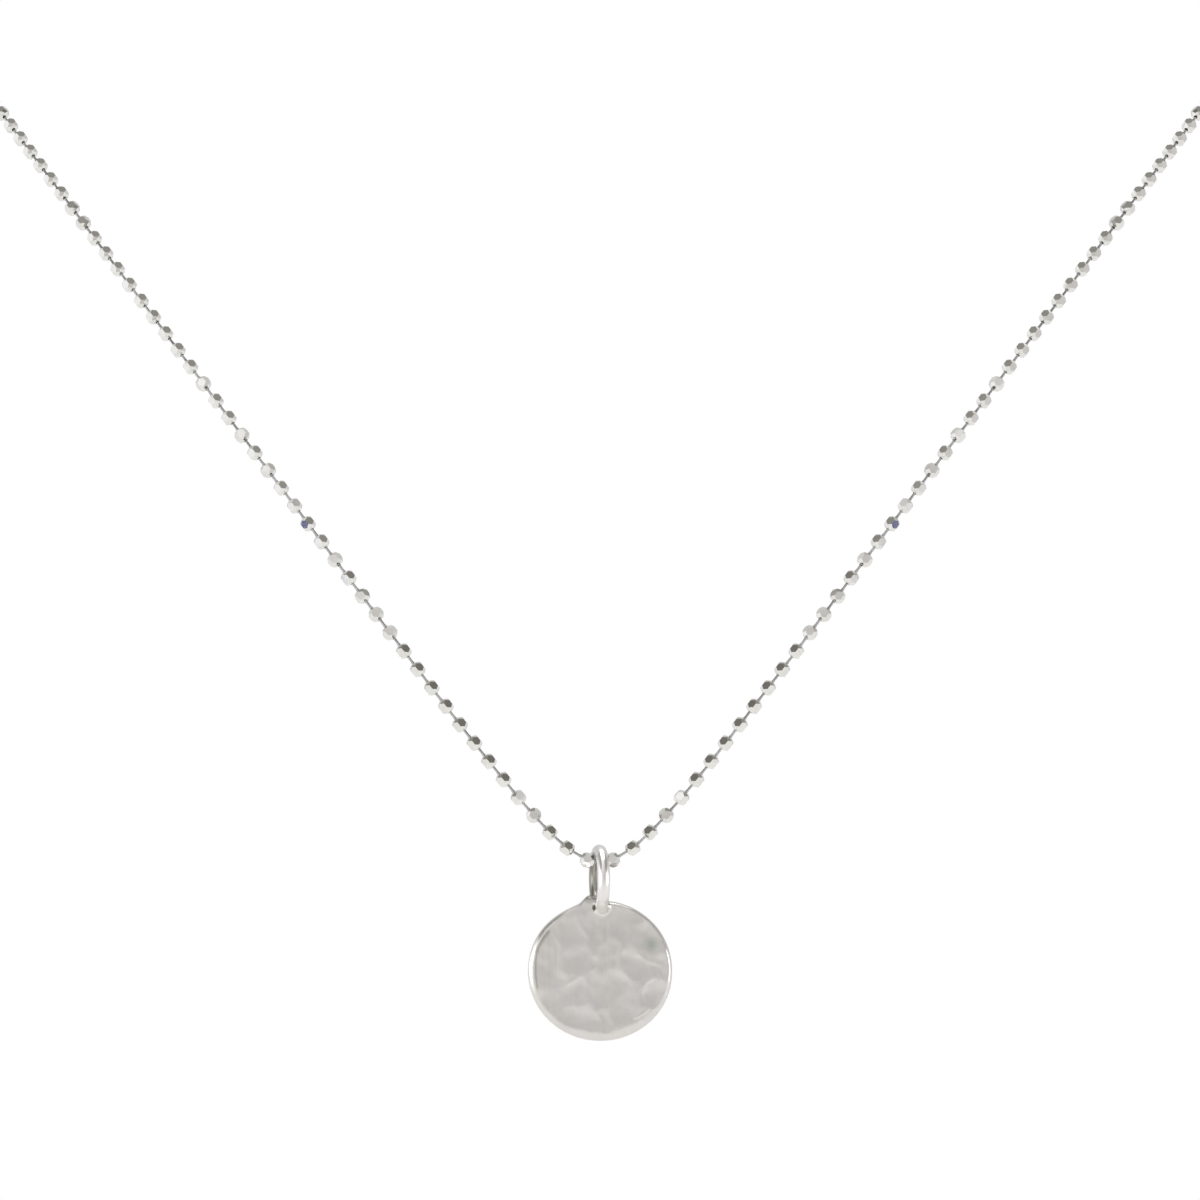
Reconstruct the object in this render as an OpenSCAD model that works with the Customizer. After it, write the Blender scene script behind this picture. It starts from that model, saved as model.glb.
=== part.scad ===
// A hammered silver disc on a round wire bail, hung on an 18 inch chain of faceted beads.
// Millimetres, +Z up, -Y towards the viewer. The origin is the middle of the clasp at the nape.

/* [Disc] */
// Width of the disc
disc_w = 12; // [11:0.5:13]
// Depth of the flats that edge blows leave at the disc's top and bottom
disc_flat = 0.2; // [0.1:0.05:0.3]
// Thickness of the disc
disc_t = 1.2; // [1:0.1:1.5]
// Rounding of the disc's two rim edges
rim_round = 0.35; // [0.2:0.05:0.45]
// Depth of a full hammer blow
blow_depth = 0.11; // [0.06:0.01:0.14]

/* [Bail] */
// Outer diameter of the bail ring
bail_od = 5.75; // [5.6:0.05:6]
// Diameter of the bail's round wire
bail_wire_d = 1.05; // [0.95:0.05:1.1]
// Turn of the bail about the vertical, which brings its front leg to the right
bail_turn = 9; // [0:1:12]
// Clearance between the bail and the link that carries it
bail_play = 0.12; // [0.1:0.01:0.2]
// Height of the disc's top edge over the middle of the bail's foot, which is let into it
foot_cover = 0.6; // [0.5:0.05:0.7]

/* [Chain] */
// Half width of the worn loop
loop_half_w = 62; // [58:1:66]
// Half depth of the worn loop, from throat to nape
loop_half_d = 61; // [54:1:64]
// Height of the nape above the lowest link
loop_drop = 102; // [98:1:106]
// Diameter of a bead
bead_d = 1.25; // [1.1:0.05:1.3]
// Distance from bead to bead along the chain, which is fitted to the loop
bead_pitch = 1.95; // [1.94:0.01:2.2]
// Length of the middle link, from bead centre to bead centre
mid_link = 2.16; // [2.1:0.02:2.4]
// Diameter of the wire of the links
link_d = 0.24; // [0.2:0.02:0.28]

/* [Clasp] */
// Outer diameter of the clasp's sleeve
sleeve_d = 2.4; // [2.2:0.1:3]
// Thickness of the sleeve's wall
sleeve_wall = 0.38; // [0.3:0.02:0.4]
// Length of the sleeve
sleeve_len = 4.25; // [4.1:0.05:4.4]

/* [Hidden] */

$fn = 48;

// The front of the loop hangs in a V that is rounded at its lowest link and eases at the top
v_slope = 1.37;
v_round = 5.3;
v_ease = -0.0007;
// Angle around the loop, from the throat, at which the free V passes to the stretch on the neck
v_end = 60;

function v_rise(x) = sqrt(pow(v_slope * x, 2) + v_round * v_round) - v_round + v_ease * x * x;
function v_grade(x) = v_slope * v_slope * x / sqrt(pow(v_slope * x, 2) + v_round * v_round)
    + 2 * v_ease * x;

v_end_x = loop_half_w * sin(v_end);
v_end_z = v_rise(v_end_x);
v_end_rate = v_grade(v_end_x) * loop_half_w * cos(v_end) * (180 - v_end) * PI / 180;

// A cubic that leaves the V at its own grade and arrives level at the nape
function neck_rise(t) = v_end_z + v_end_rate * t * pow(1 - t, 2)
    + (loop_drop - v_end_z) * t * t * (3 - 2 * t);

// A point of the loop at an angle from the throat, positive to the right as seen from the front
function loop_at(a) = [
    loop_half_w * sin(a),
    -loop_half_d * (1 + cos(a)),
    (abs(a) <= v_end ? v_rise(loop_half_w * sin(abs(a)))
        : neck_rise((abs(a) - v_end) / (180 - v_end))) - loop_drop
];

// Length run along one side of the loop, which turns a length into an angle
run_steps = 360;
run_points = [for (i = [0:run_steps]) loop_at(180 * i / run_steps)];
run_to = [for (i = 0, s = 0; i <= run_steps;
    s = s + (i < run_steps ? norm(run_points[i + 1] - run_points[i]) : 0), i = i + 1) s];
run_angle = [for (i = [0:run_steps]) [run_to[i], 180 * i / run_steps]];
half_run = run_to[run_steps];

// Beads on one side, from the throat to the last one, which the clasp holds
end_bead_run = 0.95;
side_beads = round((half_run - end_bead_run - mid_link / 2) / bead_pitch) + 1;
fitted_pitch = (half_run - end_bead_run - mid_link / 2) / (side_beads - 1);

// Beads count from the middle link: 1, 2, 3 up the right side and -1, -2, -3 up the left
function bead_run(k) = mid_link / 2 + (abs(k) - 1) * fitted_pitch;
function bead_at(k) = loop_at(sign(k) * lookup(bead_run(k), run_angle));
function next_bead(k) = k == -1 ? 1 : k + 1;
function bead_before(k) = k == 1 ? -1 : k - 1;
function unit(v) = v / norm(v);
function link_dir(k) = unit(bead_at(next_bead(k)) - bead_at(k));
function bead_axis(k) = abs(k) == side_beads ? [1, 0, 0]
    : unit(link_dir(bead_before(k)) + link_dir(k));

// The middle link, about which the bail swings
link_y = bead_at(1)[1];
link_z = bead_at(1)[2];

// Bead: a drilled ball cut with six flats round its bore, at a share of its radius
bore_d = 0.66;
flat_share = 0.9;
bead_roll = 37;

// Bail and disc, measured from the middle link
bail_r = (bail_od - bail_wire_d) / 2;
bail_x = -0.05;
bail_z = (link_d + bail_wire_d) / 2 + bail_play - bail_r;
bail_foot = bail_z - bail_r;
disc_r = disc_w / 2;
disc_z = bail_foot + foot_cover - (disc_r - disc_flat);
rim_steps = 3;

// Hammer blows on the front: across, up, radius of the mark, share of the full depth
front_blows = [
    [-2.45, 2.9, 1.35, 1], [-4.4, 1.1, 1.15, 0.9], [-4.5, -0.7, 1.15, 0.9],
    [-2.1, 0.6, 1.3, 1], [0.15, -1.7, 1.6, 1.2], [0.5, 1.1, 1.2, 0.9],
    [0.3, 3.3, 1.15, 0.9], [1.9, 2.9, 1.2, 0.9], [4.1, 2.1, 1.5, 1.3],
    [2.6, 0.3, 1.35, 1], [4.7, -1.6, 1.15, 0.9], [2.4, -2.7, 1.5, 1.1],
    [1.4, -4.7, 1.1, 0.8], [-0.8, -4.2, 1.25, 0.9], [-2.7, -2.2, 1.35, 1],
    [-2.8, -4.3, 1.1, 0.8], [-4.4, -2.6, 1.1, 0.8], [1.9, 4.8, 0.95, 0.8],
    [-2.2, 4.8, 1, 0.8], [-4.3, 2.8, 1.05, 0.8], [3.8, 4, 1, 0.8],
    [3.9, -3.9, 0.95, 0.8]
];
// Hammer blows on the back, in the same columns
back_blows = [
    [-2.2, 2.7, 1.25, 1], [0.3, 3.2, 1.2, 0.9], [2.6, 2.5, 1.25, 1],
    [-4.2, 0.6, 1.2, 0.9], [-1.3, 0.3, 1.3, 1], [1.3, 0.2, 1.25, 0.9],
    [4.1, 0.3, 1.2, 1], [-3.3, -2.3, 1.25, 0.9], [-0.6, -2.4, 1.3, 1],
    [2.1, -2.2, 1.25, 0.9], [-1.2, -4.6, 0.95, 0.8], [1.5, -4.5, 1, 0.8],
    [4.1, -2.7, 0.95, 0.8]
];
// Flats left on the rim by edge blows: angle from the right, share of the full depth
edge_flats = [[90, 1], [270, 1], [128, 0.3], [52, 0.3], [232, 0.4], [305, 0.35]];

module disc_blank() {
    corner = [for (i = [0:rim_steps]) 90 * i / rim_steps];
    outline = concat(
        [[0, -disc_t / 2]],
        [for (a = corner) [disc_r - rim_round * (1 - sin(a)), -disc_t / 2 + rim_round * (1 - cos(a))]],
        [for (a = corner) [disc_r - rim_round * (1 - cos(a)), disc_t / 2 - rim_round * (1 - sin(a))]],
        [[0, disc_t / 2]]
    );
    rotate([90, 0, 0]) rotate_extrude($fn = 96) polygon(outline);
}

// One blow: the crown of a ball-faced hammer, sunk into a face until its mark has the given radius
module blow(x, z, mark_r, depth, side) {
    crown_r = (mark_r * mark_r + depth * depth) / (2 * depth);
    translate([x, side * (disc_t / 2 - depth + crown_r), z]) sphere(r = crown_r, $fn = 96);
}

module disc() {
    difference() {
        disc_blank();
        for (b = front_blows) blow(b[0], b[1], b[2], b[3] * blow_depth, -1);
        for (b = back_blows) blow(b[0], b[1], b[2], b[3] * blow_depth, 1);
        for (f = edge_flats)
            rotate([0, -f[0], 0]) translate([disc_r - f[1] * disc_flat + disc_t, 0, 0])
                cube([2 * disc_t, 2 * disc_t, disc_w], center = true);
    }
}

// Solder that joins the bail's foot to the disc: a rounded drop in front, one behind,
// and a fillet at the left of the foot
solder_front = [0.26, -0.66, 0.08];
solder_back = [-0.24, 0.66, 0.05];
solder_r = 0.58;
fillet_at = [-0.5, 0.12, 0.25];
fillet_r = 0.42;
// Pin hole left open in the solder at the left of the front leg
pit_at = [-0.52, -0.6, 0.03];
pit_d = 0.36;
pit_depth = 0.9;

module bail_and_solder() {
    translate([bail_x, 0, bail_z]) rotate([0, 0, bail_turn]) rotate([0, 90, 0])
        rotate_extrude($fn = 96) translate([bail_r, 0]) circle(d = bail_wire_d, $fn = 48);
    translate([0, 0, bail_foot]) {
        translate(solder_front) sphere(r = solder_r);
        translate(solder_back) sphere(r = solder_r);
        translate(fillet_at) sphere(r = fillet_r);
    }
}

module pendant() {
    color("silver") translate([0, link_y, link_z]) difference() {
        union() {
            translate([0, 0, disc_z]) disc();
            bail_and_solder();
        }
        translate([pit_at[0], pit_at[1], bail_foot + pit_at[2]])
            rotate([90, 0, 0]) cylinder(d = pit_d, h = pit_depth, center = true);
    }
}

module bead() {
    flat_r = flat_share * bead_d / 2;
    difference() {
        intersection() {
            sphere(d = bead_d);
            cylinder(r = flat_r / cos(30), h = 2 * bead_d, center = true, $fn = 6);
        }
        cylinder(d = bore_d, h = 2 * bead_d, center = true, $fn = 24);
    }
}

// Stands a shape that points up the Z axis at a place, pointing along a direction
module along(place, dir) {
    translate(place) rotate([0, acos(dir[2]), atan2(dir[1], dir[0])]) children();
}

module bead_side(side) {
    for (k = [1:side_beads])
        along(bead_at(side * k), bead_axis(side * k)) rotate([0, 0, bead_roll * k]) bead();
}

module beads_left() {
    color("gainsboro") bead_side(-1);
}

module beads_right() {
    color("gainsboro") bead_side(1);
}

// Wire of all the links in one run, mitred at each bead centre
link_sides = 6;

function ring_at(k) = let (
        axis = bead_axis(k),
        along_dir = abs(k) == side_beads ? axis : link_dir(k),
        level = unit(cross([0, 0, 1], along_dir)),
        rise = cross(along_dir, level)
    )
    [for (j = [0:link_sides - 1]) let (
            a = 360 * j / link_sides,
            offset = link_d / 2 * (level * cos(a) + rise * sin(a))
        )
        bead_at(k) + offset - along_dir * (offset * axis) / (along_dir * axis)];

module links() {
    order = concat([for (k = [side_beads:-1:1]) -k], [for (k = [1:side_beads]) k]);
    rings = [for (k = order) ring_at(k)];
    last = len(rings) - 1;
    skin = [for (i = [0:last - 1], j = [0:link_sides - 1]) let (
            j2 = (j + 1) % link_sides, a = i * link_sides, b = a + link_sides
        )
        [a + j, b + j, b + j2, a + j2]];
    caps = [
        [for (j = [0:link_sides - 1]) j],
        [for (j = [link_sides - 1:-1:0]) last * link_sides + j]
    ];
    color("darkgray") polyhedron([for (r = rings) each r], concat(skin, caps));
}

// Sleeve that holds the two end beads, with a seam for the wire and an eye to pass the beads in
seam_w = 0.4;
eye_d = 1.4;
sleeve_hole_d = 0.8;
sleeve_edge = 0.3;

module clasp() {
    inner_d = sleeve_d - 2 * sleeve_wall;
    inner_len = 2 * end_bead_run + bead_d + 0.2;
    color("lightgray") rotate([0, 90, 0]) difference() {
        rotate_extrude() polygon([
            [0, -sleeve_len / 2], [sleeve_d / 2 - sleeve_edge, -sleeve_len / 2],
            [sleeve_d / 2, -sleeve_len / 2 + sleeve_edge], [sleeve_d / 2, sleeve_len / 2 - sleeve_edge],
            [sleeve_d / 2 - sleeve_edge, sleeve_len / 2], [0, sleeve_len / 2]
        ]);
        cylinder(d = inner_d, h = inner_len, center = true);
        cylinder(d = sleeve_hole_d, h = 2 * sleeve_len, center = true);
        translate([0, sleeve_d / 2, 0]) cube([seam_w, sleeve_d, 2 * sleeve_len], center = true);
        rotate([-90, 0, 0]) cylinder(d = eye_d, h = sleeve_d);
    }
}

pendant();
beads_left();
beads_right();
links();
clasp();
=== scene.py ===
import math
import random

import bpy
import numpy as np
from mathutils import Matrix, Vector


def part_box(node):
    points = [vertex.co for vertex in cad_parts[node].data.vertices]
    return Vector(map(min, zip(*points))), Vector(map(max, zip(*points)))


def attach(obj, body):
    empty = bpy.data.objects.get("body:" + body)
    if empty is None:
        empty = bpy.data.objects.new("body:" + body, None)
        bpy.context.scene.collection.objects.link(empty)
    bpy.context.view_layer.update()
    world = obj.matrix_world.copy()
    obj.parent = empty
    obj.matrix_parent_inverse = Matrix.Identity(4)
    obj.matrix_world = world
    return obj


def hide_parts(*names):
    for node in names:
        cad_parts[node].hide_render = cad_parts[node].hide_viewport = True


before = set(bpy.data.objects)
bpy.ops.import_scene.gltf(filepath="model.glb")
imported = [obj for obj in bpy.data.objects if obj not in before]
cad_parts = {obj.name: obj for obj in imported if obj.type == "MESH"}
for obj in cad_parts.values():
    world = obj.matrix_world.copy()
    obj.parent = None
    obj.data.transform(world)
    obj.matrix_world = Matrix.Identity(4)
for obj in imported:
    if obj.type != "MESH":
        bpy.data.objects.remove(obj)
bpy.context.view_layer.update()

mm = 0.001


# working helpers

def objectMode():
    bpy.ops.object.mode_set(mode="OBJECT")


def selectNothing():
    if bpy.context.object and bpy.context.object.mode != "OBJECT":
        objectMode()
    bpy.ops.object.select_all(action="DESELECT")


def pick(piece):
    selectNothing()
    piece.select_set(True)
    bpy.context.view_layer.objects.active = piece
    return piece


def named(name):
    piece = bpy.context.object
    piece.name = name
    piece.data.name = name
    return piece


def editMode(piece, mode="FACE"):
    pick(piece)
    bpy.ops.object.mode_set(mode="EDIT")
    bpy.ops.mesh.select_mode(type=mode)
    bpy.ops.mesh.select_all(action="DESELECT")


def selectFaces(piece, test):
    # edit mode is left for a moment, because it keeps its own copy of the selection
    objectMode()
    for face in piece.data.polygons:
        face.select = bool(test(face.center, face.normal))
    bpy.ops.object.mode_set(mode="EDIT")


def selectEdges(piece, test):
    objectMode()
    corners = piece.data.vertices
    for edge in piece.data.edges:
        start, end = edge.vertices
        edge.select = bool(test(corners[start].co, corners[end].co))
    bpy.ops.object.mode_set(mode="EDIT")


def selectAll():
    bpy.ops.mesh.select_all(action="SELECT")


def turnFacesOut():
    selectAll()
    bpy.ops.mesh.normals_make_consistent(inside=False)


def newPiece(add, name, **values):
    # a piece from one of the mesh primitives, with its place, turn and scale put into its mesh
    selectNothing()
    add(**values)
    piece = pick(named(name))
    bpy.ops.object.transform_apply(location=True, rotation=True, scale=True)
    return piece


def applyAll(piece):
    pick(piece)
    for modifier in list(piece.modifiers):
        bpy.ops.object.modifier_apply(modifier=modifier.name)


def joinPieces(pieces, name):
    selectNothing()
    for piece in pieces:
        piece.select_set(True)
    bpy.context.view_layer.objects.active = pieces[0]
    bpy.ops.object.join()
    return named(name)


def toMetres(piece, place):
    # a piece is modelled in millimetres about one point, and here that point comes to its place
    piece.data.transform(Matrix.Translation(place) @ Matrix.Scale(mm, 4))
    piece.data.update()


def copyTo(template, place):
    twin = template.copy()
    twin.data = template.data.copy()
    twin.data.transform(place)
    bpy.context.scene.collection.objects.link(twin)
    return twin


def discard(piece):
    bpy.data.objects.remove(piece, do_unlink=True)


def points(piece):
    flat = np.zeros(len(piece.data.vertices) * 3)
    piece.data.vertices.foreach_get("co", flat)
    return flat.reshape(-1, 3)


def putPoints(piece, spots):
    piece.data.vertices.foreach_set("co", spots.reshape(-1))
    piece.data.update()


def writeMask(piece, name, values):
    mask = piece.data.attributes.new(name, "FLOAT", "POINT")
    mask.data.foreach_set("value", np.ascontiguousarray(values, dtype=np.float32))


def ease(low, high, values):
    # 0 below low, 1 above high, eased between them
    t = np.clip((values - low) / (high - low), 0, 1)
    return t * t * (3 - 2 * t)


# where the beads are: the links node has a ring of points at each bead

ringPoints = 6
sameWithin = 7      # decimals of a metre


def findBeads():
    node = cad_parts["links"]
    low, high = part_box("links")
    middle = (low + high) / 2
    corners = sorted(
        {tuple(round(c, sameWithin) for c in v.co) for v in node.data.vertices},
        key=lambda p: math.atan2(p[0], middle.y - p[1]),
    )
    found = []
    for start in range(0, len(corners), ringPoints):
        ring = corners[start:start + ringPoints]
        found.append(Vector([sum(p[i] for p in ring) / len(ring) for i in range(3)]))
    return found


places = findBeads()
sideCount = len(places) // 2
middleLink = (places[sideCount - 1] + places[sideCount]) / 2
print(f"chain: {len(places)} beads, middle link at {[round(c / mm, 3) for c in middleLink]} mm")


def linkDirection(i):
    return (places[i + 1] - places[i]).normalized()


def beadDirection(i):
    if i in (0, len(places) - 1):
        return Vector((1, 0, 0))
    return (linkDirection(i - 1) + linkDirection(i)).normalized()


# camera, at the photograph's angle: level, straight on

camera = {
    "distance": 700 * mm,       # from the plane of the middle link
    "aboveLink": 21.67 * mm,    # the middle link stands this far below the middle of the frame
    "frameWidth": 100 * mm,     # what the frame takes in at that plane
    "sensor": 36, "nearest": 0.05,
}

bpy.ops.object.camera_add(
    location=(0, middleLink.y - camera["distance"], middleLink.z + camera["aboveLink"]),
    rotation=(math.radians(90), 0, 0),
)
photoCamera = bpy.context.object
photoCamera.data.sensor_width = camera["sensor"]
photoCamera.data.lens = camera["sensor"] * camera["distance"] / camera["frameWidth"]
photoCamera.data.clip_start = camera["nearest"]
bpy.context.scene.camera = photoCamera
bpy.context.scene.view_settings.view_transform = "Standard"


# studio: pale floor, a bright tent that the silver mirrors, softboxes at both sides and above

studio = {
    "floorRadius": 0.45, "floorHeight": -0.175, "floorThickness": 0.01, "floorSides": 96,
    "paper": (0.9, 0.9, 0.89), "paperRoughness": 0.85,
    "sidePlace": (1.5, -0.75, -0.25),       # of the right softbox, which the left one mirrors
    "sideLight": 9.0, "sideLightSize": 1.3,
    "topHeight": 1.2, "topLight": 9.0, "topLightSize": 0.9,
}
# Colours of the tent's parts, and where each starts and is full. Across, up and ahead are shares of a
# direction seen from the object, ahead towards the camera. Tops and feet are slants in degrees.
tent = {
    "paper": (1.0, 1.0, 1.0), "light": 1.0,
    # its far left and right
    "sides": (0.92, 0.92, 0.93), "sidesAcross": (0.70, 0.88),
    # its dimmer part, round the camera and a little to the right, and at the right above the horizon
    "dim": (0.58, 0.562, 0.548), "dimLean": 0.25, "dimTowards": (0.55, 0.96),
    "rightAcross": (0.0, 0.2), "rightUp": (-0.30, -0.05), "rightAhead": (-0.75, -0.4), "rightShare": 0.85,
    # its part behind the object
    "behindLow": (0.80, 0.80, 0.83), "behindHigh": (0.60, 0.60, 0.585), "behindMiddle": (0.62, 0.62, 0.63),
    "behindUp": (-0.10, 0.35), "middleAhead": (-0.65, -0.92), "behindAhead": (-0.15, -0.65),
    # the dark room, seen over the tent's open top
    "room": (0.28, 0.275, 0.25),
    "roomUp": (0.35, 0.60), "roomBack": (-0.50, -0.30), "roomFront": (0.48, 0.36),
    # small dark flags at both sides above the horizon
    "flag": (0.17, 0.162, 0.142), "flagFoot": (14, 24), "flagTop": (66, 56),
    "flagInner": (0.70, 0.60), "flagOuter": (0.27, 0.36),
    # something bluish that stands low at both sides
    "glint": (0.09, 0.10, 0.23), "glintTop": (-8, -12), "glintFoot": (-40, -36),
    "glintOuter": (0.39, 0.40), "glintInner": (0.51, 0.50),
}


def buildFloor():
    floor = newPiece(
        bpy.ops.mesh.primitive_circle_add, "studioFloor",
        vertices=studio["floorSides"], radius=studio["floorRadius"], fill_type="NGON",
        location=(0, middleLink.y / 2, studio["floorHeight"]),
    )
    editMode(floor)
    selectAll()
    bpy.ops.mesh.extrude_region_move(TRANSFORM_OT_translate={"value": (0, 0, -studio["floorThickness"])})
    turnFacesOut()
    objectMode()
    paper = bpy.data.materials.new("floorPaper")
    paper.use_nodes = True
    shader = paper.node_tree.nodes["Principled BSDF"]
    shader.inputs["Base Color"].default_value = (*studio["paper"], 1)
    shader.inputs["Roughness"].default_value = studio["paperRoughness"]
    floor.data.materials.append(paper)


def addSoftbox(name, place, light, size):
    selectNothing()
    bpy.ops.object.light_add(type="AREA", location=place)
    lamp = bpy.context.object
    lamp.name = name
    lamp.data.energy = light
    lamp.data.size = size
    return lamp


def buildLights():
    x, y, z = studio["sidePlace"]
    for name, side in (("leftSoftbox", -1), ("rightSoftbox", 1)):
        place = Vector((side * x, y, z))
        lamp = addSoftbox(name, place, studio["sideLight"], studio["sideLightSize"])
        aim = Vector((0, middleLink.y, middleLink.z)) - place
        lamp.rotation_euler = aim.to_track_quat("-Z", "Y").to_euler()
    above = (0, middleLink.y / 2, studio["topHeight"])
    addSoftbox("topSoftbox", above, studio["topLight"], studio["topLightSize"])


def feed(tree, socket, value):
    # a socket takes a number, a colour, or what another socket gives
    if isinstance(value, (int, float)):
        socket.default_value = value
    elif isinstance(value, tuple):
        socket.default_value = (*value, 1)
    else:
        tree.links.new(value, socket)


def mathNode(tree, operation, a, b=None):
    node = tree.nodes.new("ShaderNodeMath")
    node.operation = operation
    for socket, value in zip(node.inputs, (a, b)):
        if value is not None:
            feed(tree, socket, value)
    return node.outputs[0]


def times(tree, *factors):
    product = factors[0]
    for factor in factors[1:]:
        product = mathNode(tree, "MULTIPLY", product, factor)
    return product


def rampNode(tree, value, low, high):
    # as ease does, and turned round where low is the larger one
    node = tree.nodes.new("ShaderNodeMapRange")
    node.interpolation_type = "SMOOTHSTEP"
    tree.links.new(value, node.inputs["Value"])
    node.inputs["From Min"].default_value = low
    node.inputs["From Max"].default_value = high
    return node.outputs["Result"]


def mixColor(tree, factor, a, b):
    node = tree.nodes.new("ShaderNodeMix")
    node.data_type = "RGBA"
    sockets = [s for s in node.inputs if s.type == "RGBA"]
    for socket, value in ((node.inputs["Factor"], factor), (sockets[0], a), (sockets[1], b)):
        feed(tree, socket, value)
    return next(s for s in node.outputs if s.type == "RGBA")


def tentPart(tree, *edges):
    # how much a direction belongs to a part of the tent: each edge has a value and a name
    return times(tree, *[rampNode(tree, value, *tent[name]) for value, name in edges])


def tentColor(tree):
    way = tree.nodes.new("ShaderNodeTexCoord").outputs["Generated"]
    parts = tree.nodes.new("ShaderNodeSeparateXYZ")
    tree.links.new(way, parts.inputs[0])
    right, up = parts.outputs["X"], parts.outputs["Z"]
    across = mathNode(tree, "ABSOLUTE", right)
    ahead = mathNode(tree, "MULTIPLY", parts.outputs["Y"], -1)
    towards = mathNode(tree, "ADD", ahead, times(tree, right, tent["dimLean"]))
    slant = mathNode(tree, "DEGREES", mathNode(tree, "ARCTAN2", up, across))
    color = mixColor(tree, tentPart(tree, (across, "sidesAcross")), tent["paper"], tent["sides"])
    atRight = tentPart(tree, (right, "rightAcross"), (up, "rightUp"), (ahead, "rightAhead"))
    nearCamera = tentPart(tree, (towards, "dimTowards"))
    dim = mathNode(tree, "MAXIMUM", nearCamera, times(tree, atRight, tent["rightShare"]))
    color = mixColor(tree, dim, color, tent["dim"])
    behind = mixColor(tree, tentPart(tree, (up, "behindUp")), tent["behindLow"], tent["behindHigh"])
    behind = mixColor(tree, tentPart(tree, (ahead, "middleAhead")), behind, tent["behindMiddle"])
    color = mixColor(tree, tentPart(tree, (ahead, "behindAhead")), color, behind)
    for name, edges in (
        ("room", ((up, "roomUp"), (ahead, "roomBack"), (ahead, "roomFront"))),
        ("flag", ((slant, "flagFoot"), (slant, "flagTop"), (ahead, "flagInner"), (ahead, "flagOuter"))),
        ("glint", ((slant, "glintTop"), (slant, "glintFoot"), (ahead, "glintOuter"), (ahead, "glintInner"))),
    ):
        color = mixColor(tree, tentPart(tree, *edges), color, tent[name])
    return color


def buildTent():
    world = bpy.data.worlds.new("studioTent")
    bpy.context.scene.world = world
    world.use_nodes = True
    tree = world.node_tree
    tree.nodes.clear()
    light = tree.nodes.new("ShaderNodeBackground")
    tree.links.new(tentColor(tree), light.inputs["Color"])
    light.inputs["Strength"].default_value = tent["light"]
    # where the camera looks past the object it sees plain white paper
    backdrop = tree.nodes.new("ShaderNodeBackground")
    backdrop.inputs["Color"].default_value = (*tent["paper"], 1)
    backdrop.inputs["Strength"].default_value = tent["light"]
    ray = tree.nodes.new("ShaderNodeLightPath")
    choose = tree.nodes.new("ShaderNodeMixShader")
    out = tree.nodes.new("ShaderNodeOutputWorld")
    tree.links.new(ray.outputs["Is Camera Ray"], choose.inputs["Fac"])
    tree.links.new(light.outputs[0], choose.inputs[1])
    tree.links.new(backdrop.outputs[0], choose.inputs[2])
    tree.links.new(choose.outputs[0], out.inputs["Surface"])


buildFloor()
buildLights()
buildTent()
print("stage: floor, lights and tent done")


# shared surface effects

polish = {
    "peelDetail": 2.0,
    "hairlines": [(0.08, (1.0, 1.0, 0.05)), (-0.9, (0.08, 1.0, 1.0))],     # turn in radians, squeeze
    "hairlineDetail": 1.0, "hairlineEdge": (0.56, 0.70), "scuffDepth": 0.6,
}
cloudy = {"detail": 4.0, "roughness": 0.6, "edge": (0.38, 0.72)}


def newGroup(name, inputs, outputs):
    group = bpy.data.node_groups.new(name, "ShaderNodeTree")
    for side, sockets in (("INPUT", inputs), ("OUTPUT", outputs)):
        for label, kind in sockets.items():
            group.interface.new_socket(label, in_out=side, socket_type=f"NodeSocket{kind}")
    start = group.nodes.new("NodeGroupInput")
    end = group.nodes.new("NodeGroupOutput")
    return group, start.outputs, end.inputs


def noiseNode(tree, where, scale, detail, roughness=0.5):
    node = tree.nodes.new("ShaderNodeTexNoise")
    tree.links.new(where, node.inputs["Vector"])
    feed(tree, node.inputs["Scale"], scale)
    node.inputs["Detail"].default_value = detail
    node.inputs["Roughness"].default_value = roughness
    return node.outputs["Fac"]


def stretched(tree, where, scale, turn=(0, 0, 0)):
    node = tree.nodes.new("ShaderNodeMapping")
    tree.links.new(where, node.inputs["Vector"])
    node.inputs["Scale"].default_value = scale
    node.inputs["Rotation"].default_value = turn
    return node.outputs["Vector"]


def buildPolishMarks():
    # hairline scratches in two directions over a faint orange peel
    group, given, made = newGroup(
        "polishMarks",
        {"Where": "Vector", "Peel Scale": "Float", "Hairline Scale": "Float", "Hairlines": "Float"},
        {"Height": "Float", "Scuff": "Float"},
    )
    peel = noiseNode(group, given["Where"], given["Peel Scale"], polish["peelDetail"])
    lines = []
    for turn, squeeze in polish["hairlines"]:
        way = stretched(group, given["Where"], squeeze, (0, turn, 0))
        fine = noiseNode(group, way, given["Hairline Scale"], polish["hairlineDetail"])
        lines.append(rampNode(group, fine, *polish["hairlineEdge"]))
    scuff = times(group, mathNode(group, "MAXIMUM", *lines), given["Hairlines"])
    height = mathNode(group, "SUBTRACT", peel, times(group, scuff, polish["scuffDepth"]))
    group.links.new(height, made["Height"])
    group.links.new(scuff, made["Scuff"])
    return group


def buildTarnish():
    # thin cloudy darkening, as silver takes from handling
    group, given, made = newGroup(
        "tarnish",
        {"Where": "Vector", "Cloud Scale": "Float", "Clean": "Color", "Dull": "Color", "Amount": "Float"},
        {"Color": "Color", "Cloud": "Float"},
    )
    noise = noiseNode(group, given["Where"], given["Cloud Scale"], cloudy["detail"], cloudy["roughness"])
    cloud = rampNode(group, noise, *cloudy["edge"])
    share = times(group, cloud, given["Amount"])
    group.links.new(mixColor(group, share, given["Clean"], given["Dull"]), made["Color"])
    group.links.new(cloud, made["Cloud"])
    return group


polishMarks = buildPolishMarks()
tarnish = buildTarnish()


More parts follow.
